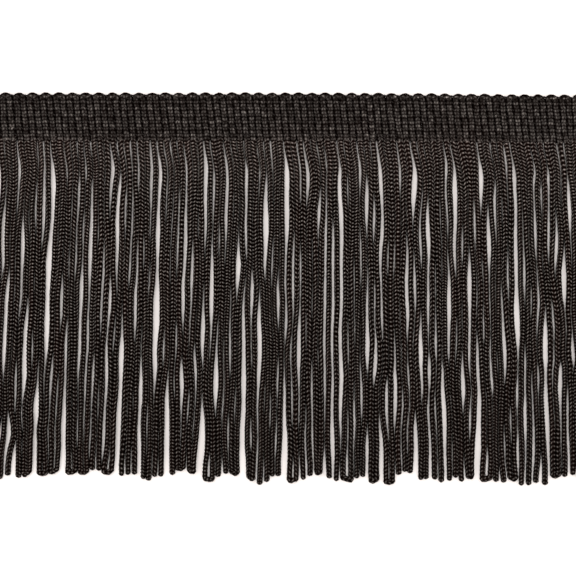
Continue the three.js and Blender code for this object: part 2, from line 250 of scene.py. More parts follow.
# profiles are points round the cord, in degrees from its right side over its top
hangingKnit = {
    "stitch": 0.975,           # along the cord
    "paceUneven": 0.26,        # cords are knitted tighter or looser by this share
    "paceWaves": ((90, 0.05), (40, 0.06), (18, 0.06)),   # and each along its length: wave and share
    "paceSag": 0.05,           # looser towards the foot
    "shares": (0.0, 0.17, 0.36, 0.53),   # rings in one stitch: valley, leg, leg, valley
    "stray": 0.12,             # legs lie a little before or behind, in stitches
    "slant": 0.38,             # and the cord twists, so that one side lies ahead of the other, in stitches
    "slantLength": 70.0,
    "flank": None,             # sides are round
    "profile": [
        (-30, "border"), (0, "side"), (30, "middle"), (60, "leg"), (90, "border"),
        (120, "leg"), (150, "middle"), (180, "side"), (210, "border"), (270, "back"),
    ],
}
boundKnit = {                  # the same cord, held evenly in the heading
    "stitch": 0.868,           # two for each row of the heading
    "paceUneven": 0.0,
    "paceWaves": (),
    "paceSag": 0.0,
    "shares": (0.0, 0.13, 0.58, 0.74),
    "stray": 0.24,
    "slant": 0.0,
    "slantLength": 70.0,
    "flank": (1.0, 0.45, -0.1),          # sides meet low down: reach, from and to which height
    "profile": [
        (0, "side"), (37, "border"), (54, "leg"), (69, "leg"), (82, "crown"), (98, "crown"), (111, "leg"),
        (126, "leg"), (143, "border"), (180, "side"), (225, "back"), (270, "back"), (315, "back"),
    ],
}
boundFace = range(1, 9)        # points of the heading's profile that show


def profileValues(knit, values, other=0):  # one for each point round the cord, by its part
    return np.array([values.get(name, other) for angle, name in knit["profile"]])


def profileAngles(knit):
    return np.radians([angle for angle, name in knit["profile"]])


def runAlong(points):  # length of a path up to each of its points
    steps = np.linalg.norm(np.diff(points, axis=0), axis=1)
    return np.concatenate(([0], np.cumsum(steps)))


def crossAxes(slopes):  # directions aside and off the surface, square to a path
    tangent = slopes / np.linalg.norm(slopes, axis=1)[:, None]
    up = np.array([0.0, 0.0, 1.0]) - tangent * tangent[:, 2:3]
    up = up / np.linalg.norm(up, axis=1)[:, None]
    return np.cross(up, tangent), up


def pacedStations(along, knit, spans, length, number):  # stitches are not evenly long
    paced = along - knit["paceSag"] / 2 * np.sin(math.pi * spans * along) / (math.pi * spans)
    for wave, share in knit["paceWaves"]:
        rate = fullTurn * max(1, round(length / wave))
        start = fullTurn * chance(number + wave, "pace")
        paced = paced + share * (np.sin(rate * along + start) - np.sin(start)) / rate
    return length * paced


def knitPlaces(length, knit, spans, number):  # ring, leg and place along the cord for each point of its rings
    around = len(knit["profile"])
    pace = 1 + knit["paceUneven"] * (chance(number, "cordPace") - 0.5)
    stitches = max(2, round(length / (knit["stitch"] * pace)))
    ring = np.arange(ringsEach * stitches + 1)
    inStitch = ring % ringsEach
    along = (ring // ringsEach + np.take(knit["shares"], inStitch)) / stitches
    station = pacedStations(along, knit, spans, length, number)
    leg = ring[:, None] // ringsEach * around + np.arange(around)[None, :]
    stray = knit["stray"] * (chanceIn(number, leg, "legStray") - 0.5)
    slant = knit["slant"] * np.sin(fullTurn * (station / knit["slantLength"] + chance(number, "slant")))
    climb = chainette["chevron"] * partClimb[profileValues(knit, partNumber)] + stray
    climb = climb + slant[:, None] * np.cos(profileAngles(knit))
    return inStitch, leg, np.clip(station[:, None] + climb * length / stitches, 0, length)


def knitCord(points, knit, spans, turn, breadths, rise, number, tip=0):  # rings of one cord
    run = runAlong(points)
    length = run[-1]
    side, up = crossAxes(np.gradient(points, run, axis=0))
    inStitch, leg, s = knitPlaces(length, knit, spans, number)
    part = profileValues(knit, partNumber)

    def sampled(values):
        return np.interp(s, run, values)

    def sampledVector(vectors):
        return np.stack([sampled(vectors[:, k]) for k in range(3)], axis=-1)

    thicker = chainette["uneven"] * (chanceIn(number, leg, "legRadius") - 0.5)
    radius = radiusTable[inStitch][:, part] * (1 + thicker)
    if tip:  # a loose end is rounded off
        radius = radius * np.sqrt(1 - np.clip((s - length + tip) / tip, 0, 1) ** 2)
    lighter = chainette["shadeUneven"] * (chanceIn(number, leg, "legShade") - 0.5)
    # painted highlights on the legs and painted shade in the valleys, stitch by stitch
    shade = shadeTable[inStitch][:, part] * (1 + lighter)
    angle = profileAngles(knit) + sampled(turn)
    across = radius * np.where(np.cos(angle) > 0, sampled(breadths[0]), sampled(breadths[1]))
    if knit["flank"]:  # sides that meet a neighbour are not open between the stitches, and are painted dark there as painted shade between the columns
        reach, flankFrom, flankTo = knit["flank"]
        flank = smooth(flankFrom, flankTo, np.sin(angle))
        across = across * (1 - flank) + reach * flank
        shade = shade * (1 - flank)
    aside = (across * np.cos(angle))[..., None]
    above = (radius * np.sin(angle) * sampled(rise))[..., None]
    rings = sampledVector(points) + aside * sampledVector(side) + above * sampledVector(up)
    return {"rings": rings, "paintedShading": shade, "run": s, "spans": spans}


def tubeFaces(rings, around, start):  # quads of a tube and its two caps
    m, n = np.meshgrid(np.arange(rings - 1), np.arange(around), indexing="ij")
    first = m * around + n
    second = m * around + (n + 1) % around
    quads = np.stack([first, second, second + around, first + around], -1)
    faces = (quads.reshape(-1, 4) + start).tolist()
    last = start + (rings - 1) * around
    return faces + [list(range(start, start + around))[::-1], list(range(last, last + around))]


def tubeMap(rings, around, cell, cells, spans, tallest):  # each leg of a cord has its own strip of the map
    m, n = np.meshgrid(np.arange(rings - 1), np.arange(around), indexing="ij")
    half = ringsEach * (rings // (spans * ringsEach))
    second = (m >= half).astype(int) * (spans - 1)
    u0 = (cell + second + n / around) / cells
    u1 = u0 + 1 / around / cells
    v0 = (m - half * second) / tallest
    v1 = v0 + 1 / tallest
    corners = [(u0, v0), (u1, v0), (u1, v1), (u0, v1)]
    quadMap = np.stack([np.stack(corner, -1) for corner in corners], -2).reshape(-1, 2)
    capMap = np.tile([[(cell + 0.5) / cells, 0.0]], (2 * around, 1))
    return np.concatenate([quadMap, capMap])


def stitchesIn(cords):  # most stitches in one leg, with a little to spare
    return max(len(c["rings"]) // (c["spans"] * ringsEach) for c in cords) + 2


def meshPiece(name, places, faces, material, leans=False):
    laid = np.array(places)
    if leans:
        laid[:, 0] += columnLean(laid[:, 0], laid[:, 1])
    laid[:, 1] -= droopAt(laid[:, 0])
    mesh = bpy.data.meshes.new(name)
    mesh.from_pydata((laid * mm).tolist(), [], faces)
    mesh.materials.append(material)
    mesh.polygons.foreach_set("use_smooth", [True] * len(mesh.polygons))
    mesh.update()
    piece = bpy.data.objects.new(name, mesh)
    bpy.context.scene.collection.objects.link(piece)
    return piece


def cordPiece(name, cords, material, leans=False):  # joins knitted cords in one mesh
    cells = sum(c["spans"] for c in cords)
    tallest = ringsEach * stitchesIn(cords)
    places, faces, mapped = [], [], []
    start = cell = 0
    for cord in cords:
        rings, around = cord["paintedShading"].shape
        faces += tubeFaces(rings, around, start)
        mapped.append(tubeMap(rings, around, cell, cells, cord["spans"], tallest))
        places.append(cord["rings"].reshape(-1, 3))
        start += rings * around
        cell += cord["spans"]
    piece = meshPiece(name, np.concatenate(places), faces, material, leans)
    layer = piece.data.uv_layers.new(name="OFBake")
    layer.data.foreach_set("uv", np.concatenate(mapped).astype(np.float32).ravel())
    for label in ("paintedShading", "tone"):  # painted light and shade, and how brown
        values = np.concatenate([c[label].ravel() for c in cords])
        attribute = piece.data.attributes.new(label, "FLOAT", "POINT")
        attribute.data.foreach_set("value", values.astype(np.float32))
    return piece


# finishes

class Wire:  # a socket of a node tree, with maths on it
    def __init__(self, tree, socket=None):
        self.tree = tree
        self.socket = socket

    def node(self, kind, settings=None, sockets=None, out=0):
        made = self.tree.nodes.new(kind)
        for name, value in (settings or {}).items():
            setattr(made, name, value)
        for name, value in (sockets or {}).items():
            if isinstance(value, Wire):
                self.tree.links.new(value.socket, made.inputs[name])
            else:
                made.inputs[name].default_value = value
        return Wire(self.tree, made.outputs[out])

    def maths(self, operation, first, second):
        return self.node("ShaderNodeMath", {"operation": operation}, {0: first, 1: second})

    def __add__(self, other):
        return self.maths("ADD", self, other)

    def __radd__(self, other):
        return self.maths("ADD", other, self)

    def __sub__(self, other):
        return self.maths("SUBTRACT", self, other)

    def __mul__(self, other):
        return self.maths("MULTIPLY", self, other)

    def __rmul__(self, other):
        return self.maths("MULTIPLY", other, self)

    def __pow__(self, other):
        return self.maths("POWER", self, other)


attributeValue = 2         # the attribute node's output for one number
objectPlace = 3            # the coordinate node's output for places in the object
mixFactor, mixFirst, mixSecond, mixColour = 0, 6, 7, 2   # the mix node's sockets for colours
waveUnit = 20              # a wave texture at scale 1 has this many radians for each unit


def attributeOf(start, name):
    return start.node("ShaderNodeAttribute", {"attribute_name": name}, out=attributeValue)


def noise(place, look):
    return place.node("ShaderNodeTexNoise", None, {"Vector": place, **look})


def banded(place, direction, look):  # fine lines side by side
    return place.node("ShaderNodeTexWave", {"wave_type": "BANDS", "bands_direction": direction},
                      {"Vector": place, **look})


def blended(factor, first, second):  # one colour into another
    return factor.node("ShaderNodeMix", {"data_type": "RGBA", "clamp_factor": True},
                       {mixFactor: factor, mixFirst: first, mixSecond: second}, out=mixColour)


def bumped(height, strength, depth):
    return height.node("ShaderNodeBump", None, {"Strength": strength, "Distance": depth, "Height": height})


def newFinish(name):
    material = bpy.data.materials.new(name)
    material.use_nodes = True
    shader = material.node_tree.nodes["Principled BSDF"]
    return material, Wire(material.node_tree), shader


def plug(wire, shader, name):
    wire.tree.links.new(wire.socket, shader.inputs[name])


yarn = {
    "pit": (0.0015, 0.0004, 0.0001, 1),     # painted shade deep between the legs
    "pitBrown": (0.0038, 0.0011, 0.0006, 1),
    # painted highlight: the lit colour of the legs
    "body": (0.286, 0.250, 0.227, 1),
    "brown": (0.318, 0.246, 0.219, 1),      # painted highlight of the legs where some strands lean to brown
    "brownByTone": 0.7,
    "brownByCloud": 0.5,
    "brownLess": 0.2,
    "cloud": {"Scale": 70.0, "Detail": 1.0},
    "contrast": 2.35,                       # how sharply the painted highlights on the legs stand out of the painted shade in the pits
    "mottle": {"Scale": 900.0, "Detail": 2.0},
    "mottleLeast": 0.7,                     # legs are mottled from this on
    "mottleMore": 0.6,                      # by this much
    "roughness": 0.42,
    "roughnessSpread": 0.16,
    "specular": 0.0,
    "glint": 0.6,                           # coat on the crests of the legs
    "glintPower": 3.0,
    "glintRoughness": 0.3,
    "filaments": 5,                         # fine lines along each leg
    "filamentLook": {"Distortion": 1.5, "Detail": 2.0, "Detail Scale": 2.0},
    "filamentDepth": 0.000022,
    "bumpMottle": 0.6,
    "bumpStrength": 0.5,
}


def chainetteFinish(name, stitchesTall):
    material, start, shader = newFinish(name)
    paintedShading = attributeOf(start, "paintedShading")
    tone = attributeOf(start, "tone")
    place = start.node("ShaderNodeTexCoord", out=objectPlace)
    mottle = noise(place, yarn["mottle"])
    cloud = noise(place, yarn["cloud"])
    browned = tone * yarn["brownByTone"] + cloud * yarn["brownByCloud"] - yarn["brownLess"]
    # painted highlight of the legs, browner in some strands
    wearAndHighlight = blended(browned, yarn["body"], yarn["brown"])
    # painted shade in the pits
    deep = blended(browned, yarn["pit"], yarn["pitBrown"])
    shown = paintedShading ** yarn["contrast"] * (yarn["mottleLeast"] + yarn["mottleMore"] * mottle)
    plug(blended(shown, deep, wearAndHighlight), shader, "Base Color")
    plug(yarn["roughness"] + yarn["roughnessSpread"] * (mottle - 0.5), shader, "Roughness")
    uv = start.node("ShaderNodeUVMap", {"uv_map": "OFBake"})
    scale = yarn["filaments"] * stitchesTall * fullTurn / waveUnit
    fibre = banded(uv, "Y", {"Scale": scale, **yarn["filamentLook"]})
    height = fibre + yarn["bumpMottle"] * mottle
    plug(bumped(height, yarn["bumpStrength"], yarn["filamentDepth"]), shader, "Normal")
    plug(paintedShading ** yarn["glintPower"] * yarn["glint"], shader, "Coat Weight")
    shader.inputs["Coat Roughness"].default_value = yarn["glintRoughness"]
    shader.inputs["Specular IOR Level"].default_value = yarn["specular"]
    return material


thread = {
    "colour": (0.006, 0.0045, 0.0038, 1),
    "wearAndHighlight": (0.03, 0.024, 0.021, 1),
    "mottle": {"Scale": 1500.0, "Detail": 2.0},
    "roughness": 0.5,
    "roughnessSpread": 0.2,
    "specular": 0.05,
    "ply": {"Scale": 1100.0, "Distortion": 2.0, "Detail": 1.0},
    "plyDepth": 0.00003,
    "bumpStrength": 0.5,
}


def threadFinish(name):
    material, start, shader = newFinish(name)
    place = start.node("ShaderNodeTexCoord", out=objectPlace)
    ply = banded(place, "DIAGONAL", thread["ply"])
    mottle = noise(place, thread["mottle"])
    plug(blended(mottle, thread["colour"], thread["wearAndHighlight"]), shader, "Base Color")
    plug(thread["roughness"] + thread["roughnessSpread"] * (mottle - 0.5), shader, "Roughness")
    plug(bumped(ply, thread["bumpStrength"], thread["plyDepth"]), shader, "Normal")
    shader.inputs["Specular IOR Level"].default_value = thread["specular"]
    return material


# fringe of hanging strands

rest = {
    "radius": 0.73,      # a strand on the surface
    "boundZ": 0.86,      # the same cord in the heading
    "touch": 1.42,       # closer than this one strand rides up on the next
    "liftEase": 6,       # levels before and after, over which it does
    "wander": 0.16,      # strands rise and sink by this much
    "wanderLength": 31.0,
    "lift": 0.46,        # and lie a little clear of the surface but for their feet
    "twists": ((0.42, 83.0, "longTwist"), (0.2, 27.0, "shortTwist")),   # turn to and fro, length and chance
    "rootLength": 5.0,
    "leanLength": 10.0,  # below the heading, where strands lean with its columns
    "rootInset": 0.35,   # strands begin this far up in the heading
    "rootDeep": 0.11,    # and lower than its columns
    "sideRadius": 0.74,  # half of a strand's width
    "closeUp": (1.57, 1.43),         # strands that end up closer than this touch from the heading on
    "fateDepth": 14.0,   # where that is seen
    "clingTo": (5.0, 15.0),          # and where they thin out to their own width
    "partFrom": (-3.2, 0.6),         # others part this far below the heading
    "partLength": 3.2,
    "piecesOfFringe": 5,
}
foot = {
    "width": 1.42,       # least from centre to centre of the legs where they turn
    "drawn": 9.0,        # length over which the legs come together
    "widest": 2.1,
    "turnDepth": 0.28,   # flat turn of a loop that hangs under no load
    "square": 0.6,       # below 1 its corners are fuller
    "steps": 14,
    "tiltMost": 1.1,     # some loops lie on their edge, radians
    "tiltOften": 0.12,
    "tiltEase": (1.3, 0.7),          # others lie between, in shares of tiltOften
    "skew": 2.2,         # one leg may reach lower than the other
    "tip": 0.62,         # length over which a loose end is rounded off
    "flick": 0.8,        # loose ends lean aside where they have room
    "flickLength": 18.0,
    "flickNear": 1.3,    # and come no nearer than this to the next one
}
# feet along the trim: place, and how much lower than middling they hang
footRows = [
    (-83, 0), (-69.4, 0.7), (-65.4, 0.2), (-60.2, -0.9), (-55.4, -0.1), (-50.4, -1.1), (-45, 0.1),
    (-40, 0.0), (-33.3, 1.0), (-26.7, -1.1), (-19.3, 1.25), (-12.7, -0.9), (-8.4, 2.0), (-2, 0.3),
    (5.3, 1.5), (8.2, -0.9), (14.8, 1.5), (21, 0.2), (27.2, 1.8), (30.6, -1.6), (36.4, 1.3),
    (42.5, 1.3), (49, -0.3), (55.9, 1.8), (62.5, 1.5), (70.5, 1.3), (73.1, -0.5), (83, 0),
]
footPlaces, footDrops = zip(*footRows)

depths = np.linspace(0, lie["fringe"], lie["levels"])
rows = strandRows(depths)


def heightRows():  # how high each strand lies at each depth
    spacing = np.diff(rows, axis=1)
    squeezed = np.sqrt(np.maximum(0, rest["touch"] ** 2 - spacing ** 2))
    beside = np.zeros_like(rows)
    beside[:, 1:] = squeezed
    beside[:, :-1] = np.maximum(beside[:, :-1], squeezed)
    beside *= columnNumber % 2 == 0  # every second strand rides up
    ease = rest["liftEase"]
    window = np.hanning(2 * ease + 1)
    window /= window.sum()
    lifted = [np.convolve(np.pad(strand, ease, "edge"), window, "valid") for strand in beside.T]
    turn = depths[:, None] / rest["wanderLength"] + chance(columnNumber, "wander")
    wander = rest["wander"] * (0.5 + 0.5 * np.sin(fullTurn * turn))
    settle = smooth(0, rest["rootLength"], depths)[:, None]
    settled = rest["radius"] + rest["lift"] + np.stack(lifted, 1) + wander
    return rest["boundZ"] * (1 - settle) + settled * settle


heights = heightRows()


def footLine(number, x):  # where a loop or a loose end reaches down to
    uneven = lie["uneven"] * (2 * chance(number, "footUneven") - 1)
    return lowerEdge - lie["fringe"] + uneven - np.interp(x, footPlaces, footDrops)


def legPoints(i, x, footY, footZ):
    drawn = smooth(lie["fringe"] - foot["drawn"], lie["fringe"], depths)
    y = lowerEdge + (footY - lowerEdge) * depths / lie["fringe"]
    z = heights[:, i] * (1 - drawn) + footZ * drawn
    startY = lowerEdge + rest["rootInset"] + hangingKnit["stitch"] * chance(i, "rootStart")
    aside = rootLean(columnX[i])
    x = x + aside * (1 - smooth(0, rest["leanLength"], depths))
    inHeading = [[columnX[i] + aside, startY, rest["boundZ"] - rest["rootDeep"]]]
    return np.concatenate([inHeading, np.stack([x, y, z], 1)])


def footFlick(i):  # how far a loose end leans aside
    feet = rows[-1]
    toLeft = max(0, feet[i] - feet[i - 1] - foot["flickNear"]) / 2 if i > 0 else foot["flick"]
    toRight = max(0, feet[i + 1] - feet[i] - foot["flickNear"]) / 2 if i < columns - 1 else foot["flick"]
    return min(max(foot["flick"] * (2 * chance(i, "flick") - 1), -toLeft), toRight)


def loosePath(i):
    flick = footFlick(i)
    x = rows[:, i] + flick * smooth(lie["fringe"] - foot["flickLength"], lie["fringe"], depths) ** 2
    return legPoints(i, x, footLine(i, x[-1]), rest["radius"])


def loopPath(left, right):
    loop = right // 2
    tiltFrom, tiltTo = 1 - np.multiply(foot["tiltEase"], foot["tiltOften"])
    tilt = foot["tiltMost"] * float(smooth(tiltFrom, tiltTo, chance(loop, "loopTilt")))
    rightOnTop = chance(loop, "legOnTop") > 0.5
    middle = (rows[:, left] + rows[:, right]) / 2
    legsApart = np.clip(rows[-1, right] - rows[-1, left], foot["width"], foot["widest"])
    drawn = smooth(lie["fringe"] - foot["drawn"], lie["fringe"], depths)
    lowest = footLine(left, middle[-1]) + foot["turnDepth"] + rest["radius"]
    inRange = chance(loop, "closed") / lie["closed"]  # from 0 to 1 for the loops that hang closed
    skew = foot["skew"] * (inRange - 0.5) * math.cos(tilt)
    legs = []
    for i, sideways in ((left, -1), (right, 1)):
        x = rows[:, i] * (1 - drawn) + (middle + sideways * legsApart / 2 * math.cos(tilt)) * drawn
        onTop = (sideways > 0) == rightOnTop
        footZ = rest["radius"] + (legsApart * math.sin(tilt) if onTop else 0.0)
        legs.append(legPoints(i, x, lowest + sideways * skew / 2, footZ))
    down, up = legs[0], legs[1][::-1]
    half = (up[0] - down[-1]) / 2
    centre = (up[0] + down[-1]) / 2
    angle = np.linspace(0, math.pi, foot["steps"])[1:-1, None]
    below = np.array([0.0, -foot["turnDepth"], 0.0])
    across = np.sign(np.cos(angle)) * np.abs(np.cos(angle)) ** foot["square"]
    turn = centre - half * across + below * np.sin(angle) ** foot["square"]
    return np.concatenate([down, turn, up])


def sideBreadth(i, neighbour):  # how far a strand's side swells towards a neighbour that it clings to
    even = np.ones(len(depths) + 1)
    if not 0 <= neighbour < columns:
        return even
    spacing = np.abs(rows[:, neighbour] - rows[:, i])
    fate = np.interp(rest["fateDepth"], depths, spacing)
    swell = np.maximum(0, spacing / (2 * rest["sideRadius"]) - 1)
    clings = smooth(*rest["closeUp"], fate) * (1 - smooth(*rest["clingTo"], depths))
    parts = np.interp(chance(max(i, neighbour), "parting"), (0, 1), rest["partFrom"])
    even[1:] += swell * np.maximum(clings, 1 - smooth(parts, parts + rest["partLength"], depths))
    even[0] = even[1]
    return even


def loopBreadths(left, right):  # inner and outer side of a closed loop along its path
    turn = np.ones(foot["steps"] - 2)
    inner = np.concatenate([sideBreadth(left, right), turn, sideBreadth(right, left)[::-1]])
    outer = np.concatenate([sideBreadth(left, left - 1), turn, sideBreadth(right, right + 1)[::-1]])
    return inner, outer


strandShade = {
    "root": (0.6, -0.6, 0.7),        # painted shadow just under the heading, which casts it: how dark, from and to which depth
    "top": 0.97,                     # lightest below that
    "fade": (0.26, 0.2, 1.1),        # darker towards the feet: how much, from and to which share of the depth
    "edge": {"side": 0.43, "middle": 0.34, "leg": -0.11},   # painted shade on each strand's sides and middle and a painted highlight on its legs, so that strands stand out from each other
    "edgeDepth": (-0.15, 0.4),       # from and to which share of the depth
    "legFill": 0.17,                 # a leg's ends are less dark towards the feet
    "haze": (0.10, 0.30),            # and so are the pits near the heading: how much, to which share
    "tone": 0.7,                     # some strands are browner
    "toneLength": 60.0,
    "rootTone": (0.5, 0.2),          # and all of them near the heading: how much, to which share
}


def shadeStrand(cord, number):  # painted light and shade of a strand along its length, and how brown it is
    below = lowerEdge - cord["rings"][..., 1]
    depth = below / lie["fringe"]
    dark, darkFrom, darkTo = strandShade["root"]
    fade, fadeFrom, fadeTo = strandShade["fade"]
    haze, hazeTo = strandShade["haze"]
    rootTone, rootToneTo = strandShade["rootTone"]
    edge = profileValues(hangingKnit, strandShade["edge"])
    onLeg = profileValues(hangingKnit, {"leg": 1})
    paintedShading = cord["paintedShading"]
    # painted shadow under the heading
    paintedShading *= dark + (1 - dark) * smooth(darkFrom, darkTo, below)
    paintedShading *= strandShade["top"] - fade * smooth(fadeFrom, fadeTo, depth)
    # painted shade on the sides and middle of the strand
    paintedShading *= 1 - edge * smooth(*strandShade["edgeDepth"], depth)
    paintedShading += strandShade["legFill"] * depth * onLeg * (1 - paintedShading)
    paintedShading += haze * (1 - paintedShading) * (1 - smooth(0, hazeTo, depth))
    turn = cord["run"] / strandShade["toneLength"] + chance(number, "toneWave")
    brown = strandShade["tone"] * chance(number, "tone") * (0.5 + 0.5 * np.sin(fullTurn * turn))
    cord["tone"] = brown + rootTone * (1 - smooth(0, rootToneTo, depth))


def hangingCord(legs):  # a closed loop of two legs, or one loose end
    number = legs[0]
    if len(legs) == 2:
        points = loopPath(*legs)
        breadths = loopBreadths(*legs)
        tip = 0
    else:
        points = loosePath(number)
        breadths = (sideBreadth(number, number + 1), sideBreadth(number, number - 1))
        tip = foot["tip"]
    run = runAlong(points)
    turn = np.zeros(len(points))
    for most, length, purpose in rest["twists"]:
        turn += most * np.sin(fullTurn * (run / length + chance(number, purpose)))
    rise = np.ones(len(points))
    cord = knitCord(points, hangingKnit, len(legs), turn, breadths, rise, number, tip)
    shadeStrand(cord, number)
    return cord


hanging = []
for loop in range(trim["scallops"] + 1):
    legs = [i for i in (2 * loop - 1, 2 * loop) if 0 <= i < columns]
    hanging += [legs] if hangsClosed(loop) else [[i] for i in legs]
cords = [hangingCord(legs) for legs in hanging]
print("hanging cords:", len(cords), "closed loops:", sum(len(legs) == 2 for legs in hanging))
yarnFringe = chainetteFinish("chainette_yarn", stitchesIn(cords))
for number in range(rest["piecesOfFringe"]):
    some = [c for c, legs in zip(cords, hanging) if legs[0] * rest["piecesOfFringe"] // columns == number]
    piece = cordPiece(f"fringe_{number + 1}", some, yarnFringe)
    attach(piece, bodyName)
    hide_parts("fringe")
    print(piece.name, "faces:", len(piece.data.polygons))


# heading of bound columns

binding = {
    "rows": 7,
    "first": 0.8,            # lowest furrow above the lower edge
    "pitch": 1.737,
    "threadAbove": 0.35,     # thread above its furrow
    "topLower": 0.77,        # the top thread lies lower, under the turns of the scallops
    "notchRise": 0.8,        # and rises in the notches between them
}
furrowY = lowerEdge + binding["first"] + binding["pitch"] * np.arange(binding["rows"])
threadY = furrowY + binding["threadAbove"]
threadY[-1] -= binding["topLower"]

bound = {
    "breadth": 1.08,
    "rise": 1.03,
    "rowBreadth": -0.09,     # narrower at a thread, wider in a furrow
    "rowRise": 0.05,
    "columnStray": 0.05,     # columns stand a little to the left or right
    "columnSteps": 9,
    "wobble": 0.05,          # and are not straight
    "wobbleWay": (0.6, 0, 0.6),
    "stitchShift": 0.24,     # stitches of neighbours are not level
    "stitchTurn": 0.4,       # nor turned alike
    "stitchPoints": 4,       # of the path that turn together
    "pinTurn": 0.15,         # nor are whole hairpins
    "sway": (0.12, 0.9, 6),  # which turn to and fro as they go: how far, how often, start at most
    "startInset": -0.23,     # ends below the lower edge
    "endInset": -0.49,
    "turnClear": 0.6,        # columns end this far below the turn
    "scallopTop": 1.10,      # cord's centre below the very top
    "scallopUneven": 0.12,
    "curveSteps": 6,
    "firstNumber": 100,      # hairpins are numbered after the strands
}
# way of the cord round a scallop: across from its middle and down from its top
scallopRows = [
    (-0.88, 0.95), (-0.79, 0.46), (-0.44, 0.13), (0.02, 0.0), (0.46, 0.10), (0.81, 0.42), (0.88, 0.90),
]
boundShade = {
    "parts": {"border": 0.1, "crown": 0.78, "leg": 1.06},   # painted shade in the slits between columns and painted highlights on the dots
    "rows": (0.43, 0.06, 0.01),       # painted light and shade in rows: level, wave once and twice a row
    "furrow": (0.40, 1.9, 2.0),       # cord that shows in a furrow: how much, where in the row, how uneven
    "furrowChance": (0.4, 0.6),       # least, and what chance adds
    "furrowWave": (0.78, 0.18),       # level and wave
    "bands": (                        # painted shade below the scallops' turns and a painted highlight along them
        (4.27, 0.5, -0.32), (4.92, 0.22, 0.6),              # place, width and strength
    ),
    "rim": (5.1, 5.5, 0.65),          # painted shade on the upper rim of the scallops: from, to and strength
    "uneven": 0.45,                   # some stitches catch more light
    "unevenRings": 2,                 # rings that do so together
    "dotUneven": 0.55,                # and so does one of their two sides
    "tone": 0.15,                     # some hairpins are a little browner
}


def throughPoints(points, steps):  # a smooth curve through a few points
    padded = np.concatenate([[2 * points[0] - points[1]], points, [2 * points[-1] - points[-2]]])
    t = np.linspace(0, 1, steps, endpoint=False)[:, None]
    parts = []
    for k in range(len(points) - 1):
        a, b, c, d = padded[k:k + 4]
        bend = (2 * a - 5 * b + 4 * c - d) * t ** 2
        sway = (3 * b - a - 3 * c + d) * t ** 3
        parts.append((2 * b + (c - a) * t + bend + sway) / 2)
    return np.concatenate(parts + [points[-1:]])


def rowAngle(y):  # how far from one thread to the next, a full turn for each row
    return fullTurn * (y - threadY[0]) / binding["pitch"]


def columnPoints(x, y):
    return np.stack([np.full(len(y), x), y, np.full(len(y), rest["boundZ"])], 1)


def hairpinPath(k):  # up one column, round the scallop and down the next
    stray = bound["columnStray"] * (chance(2 * k + np.arange(2), "columnStray") - 0.5)
    left, right = columnX[2 * k:2 * k + 2] + stray
    middle = (left + right) / 2
    top = upperEdge - bound["scallopTop"] + bound["scallopUneven"] * (chance(k, "scallop") - 0.5)
    turn = np.array([[middle + across, top - down, rest["boundZ"]] for across, down in scallopRows])
    steps = bound["columnSteps"]
    wave = np.sin(fullTurn * (np.linspace(0, 1.0, steps) + chance(k, "wobble")))
    wobble = bound["wobble"] * wave[:, None] * [bound["wobbleWay"]]
    shift = bound["stitchShift"] * (chance(k, "stitchShift") - 0.5)
    upY = np.linspace(lowerEdge + bound["startInset"] + shift, turn[0, 1] - bound["turnClear"], steps)
    downY = np.linspace(turn[-1, 1] - bound["turnClear"], lowerEdge + bound["endInset"] - shift, steps)
    up = columnPoints(left, upY) + wobble
    down = columnPoints(right, downY) - wobble
    return throughPoints(np.concatenate([up, turn, down]), bound["curveSteps"])


def shadeHairpin(cord, k):  # painted light and shade of the heading's cord, stitch by stitch, and how brown it is
    paintedShading = cord["paintedShading"]
    y = cord["rings"][..., 1]
    row = rowAngle(y)
    around = len(boundKnit["profile"])
    point = np.arange(paintedShading.size).reshape(paintedShading.shape)
    inProfile = point % around
    stitch = point // (ringsEach * around)
    level, once, twice = boundShade["rows"]
    # painted shade in the slits, painted highlights on the dots and painted light and shade in rows
    paintedShading *= profileValues(boundKnit, boundShade["parts"], other=1)
    paintedShading *= level + once * np.cos(row) + twice * np.cos(2 * row)
    furrow, furrowAt, furrowStray = boundShade["furrow"]
    least, added = boundShade["furrowChance"]
    mean, wave = boundShade["furrowWave"]
    shows = np.isin(inProfile, boundFace)
    furrowTurn = furrowAt + furrowStray * (chanceIn(k, stitch, "furrowTurn") - 0.5)
    here = least + added * chanceIn(k, stitch * around + inProfile, "furrow")
    here = here * (mean - wave * np.cos(row + furrowTurn))
    paintedShading += shows * furrow * here * (1 - paintedShading)
    # painted shade below the scallops' turns and a painted highlight along them
    for place, width, strength in boundShade["bands"]:
        paintedShading *= 1 + strength * np.exp(-((y - place) / width) ** 2)
    # painted shade on the scallops' upper rim
    rimFrom, rimTo, strength = boundShade["rim"]
    paintedShading *= 1 - strength * smooth(rimFrom, rimTo, y)
    caught = chanceIn(k, point // (boundShade["unevenRings"] * around), "caught")
    paintedShading *= 1 + boundShade["uneven"] * (caught - 0.5)
    onLeft = inProfile > around // 3
    paintedShading *= 1 + boundShade["dotUneven"] * (chanceIn(k, 2 * stitch + onLeft, "dot") - 0.5)
    cord["tone"] = np.full(paintedShading.shape, boundShade["tone"] * chance(k, "pinTone"))


def hairpin(k):
    points = hairpinPath(k)
    row = np.cos(rowAngle(points[:, 1]))
    breadth = bound["breadth"] + bound["rowBreadth"] * row
    rise = bound["rise"] + bound["rowRise"] * row
    sway, rate, startMost = bound["sway"]
    turns = bound["pinTurn"] * (chance(k, "pinTurn") - 0.5)
    turns = turns + sway * np.sin(points[:, 1] * rate + startMost * chance(k, "pinSway"))
    stitch = np.arange(len(points)) // bound["stitchPoints"]
    turns += bound["stitchTurn"] * (chanceIn(k, stitch, "stitchTurn") - 0.5)
    cord = knitCord(points, boundKnit, 2, turns, (breadth, breadth), rise, bound["firstNumber"] + k)
    shadeHairpin(cord, k)
    return cord


